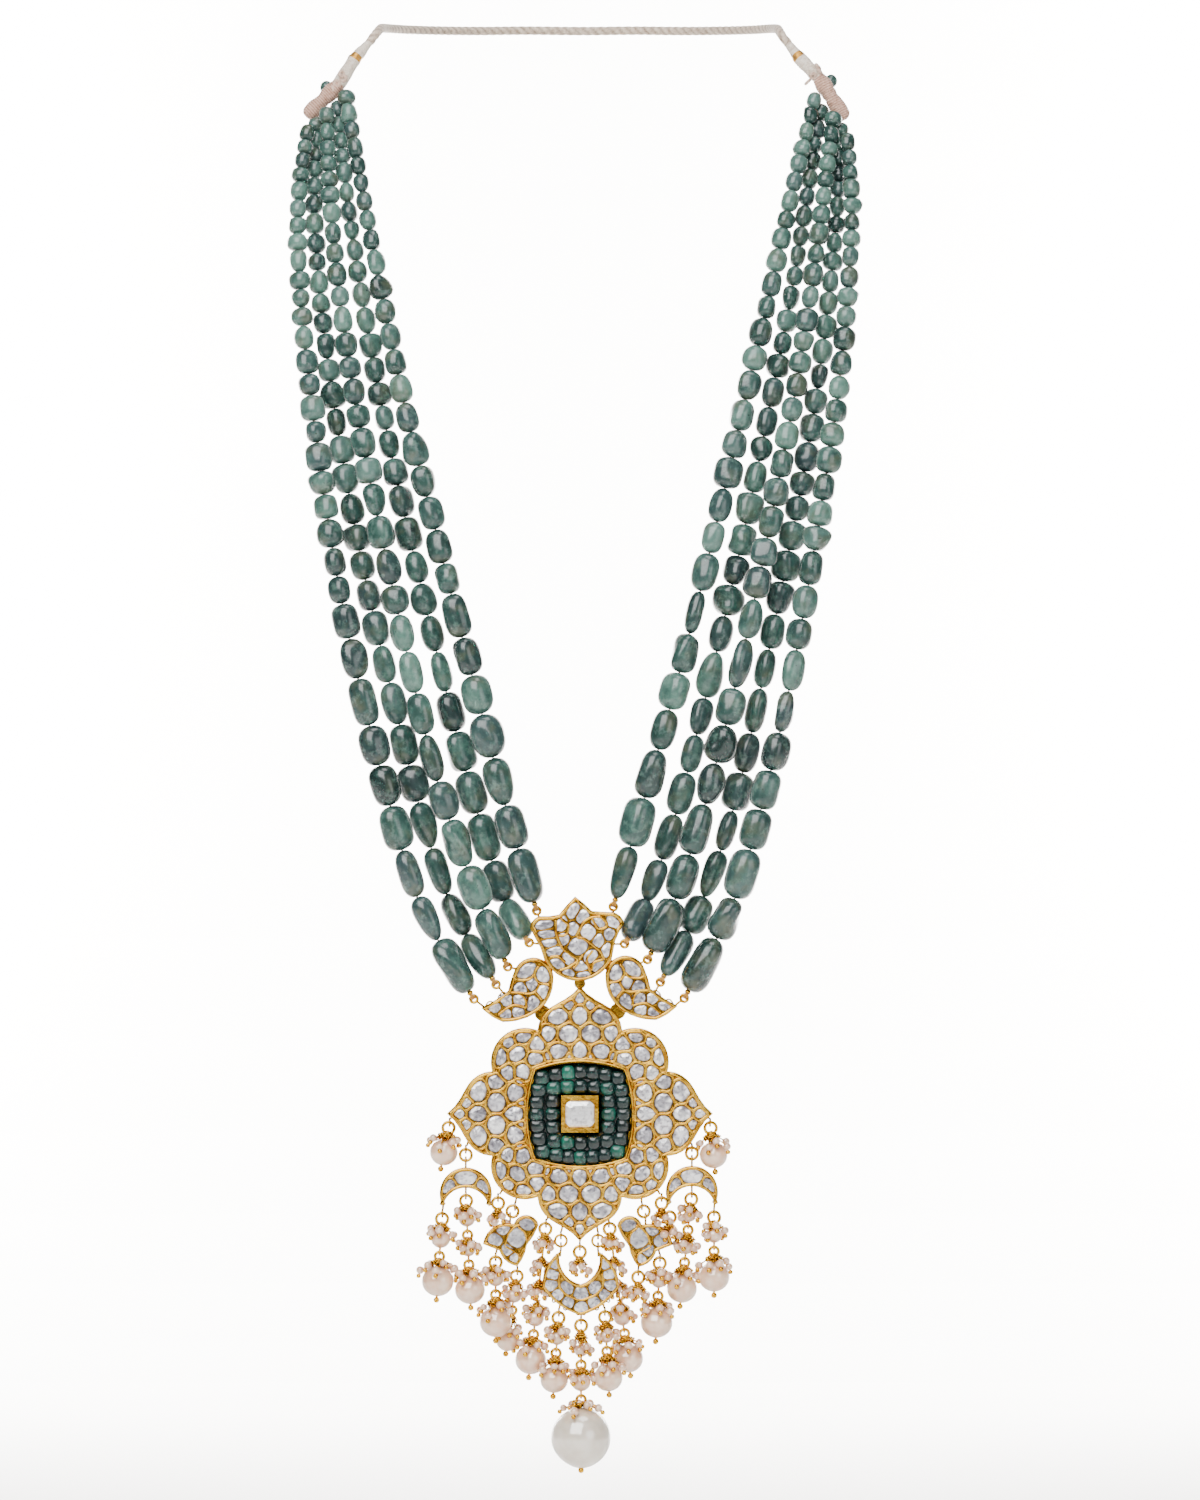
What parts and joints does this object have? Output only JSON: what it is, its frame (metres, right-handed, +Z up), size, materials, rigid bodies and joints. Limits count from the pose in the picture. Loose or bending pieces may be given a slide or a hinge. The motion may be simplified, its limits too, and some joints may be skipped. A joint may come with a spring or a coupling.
{
  "type": "polki bead pendant",
  "caption": "Worn necklace: graded emerald bead strings on a neck cord, holding a polki flower pendant with pearl drops.",
  "frame": {"origin": "the inner side of the neck cord at the middle of the nape, where the neck holds the necklace", "axes": "+X to the right as the viewer sees it, -Y towards the viewer, away from the chest, +Z up"},
  "size_m": [0.143, 0.1165, 0.3666],
  "materials": {
    "gold": "soft satin high-carat gold foil",
    "polki": "foil-backed uncut diamond, silvery",
    "pearl": "cultured pearl, soft lustre",
    "emerald": "tumbled and polished emerald, included",
    "mosaic_emerald": "polished dark emerald",
    "thread": "silk thread",
    "wound_thread": "wound silk thread with gold thread",
    "cord": "twisted silk and gold thread"
  },
  "bodies": {
    "necklace": {"pendant_frame": "gold", "flower_stones": "polki", "crest_stones": "polki", "leaf_stones": "polki", "centre_diamond": "polki", "emerald_mosaic": "mosaic_emerald", "crescent_left": "gold", "crescent_left_stones": "polki", "crescent_right": "gold", "crescent_right_stones": "polki", "trefoil_left": "gold", "trefoil_left_stones": "polki", "trefoil_right": "gold", "trefoil_right_stones": "polki", "side_rings": "gold", "pins_left": "gold", "pearls_left": "pearl", "pins_right": "gold", "pearls_right": "pearl", "beads_l1": "emerald", "beads_l2": "emerald", "beads_l3": "emerald", "beads_l4": "emerald", "beads_l5": "emerald", "beads_r1": "emerald", "beads_r2": "emerald", "beads_r3": "emerald", "beads_r4": "emerald", "beads_r5": "emerald", "string_l1": "emerald", "string_l2": "emerald", "string_l3": "emerald", "string_l4": "emerald", "string_l5": "emerald", "string_r1": "emerald", "string_r2": "emerald", "string_r3": "emerald", "string_r4": "emerald", "string_r5": "emerald", "threads_left": "thread", "threads_right": "thread", "string_end_left": "wound_thread", "string_end_right": "wound_thread", "neck_cord": "cord"},
    "centre_crescent": {"crescent_centre": "gold", "crescent_centre_stones": "polki", "crescent_rings": "gold", "crescent_pins": "gold", "crescent_pearls": "pearl"},
    "pearl_drop": {"main_drop_pins": "gold", "main_drop_pearls": "pearl", "main_pearl": "pearl"}
  },
  "joints": [
    {"name": "crescent_swing", "type": "hinge", "parent": "necklace", "child": "centre_crescent", "pos_m": [0, -0.1066, -0.3062], "axis": [-1, 0, 0], "range_deg": [0, 50]},
    {"name": "pearl_swing", "type": "hinge", "parent": "centre_crescent", "child": "pearl_drop", "pos_m": [0, -0.1066, -0.3273], "axis": [-1, 0, 0], "range_deg": [0, 50]}
  ]
}
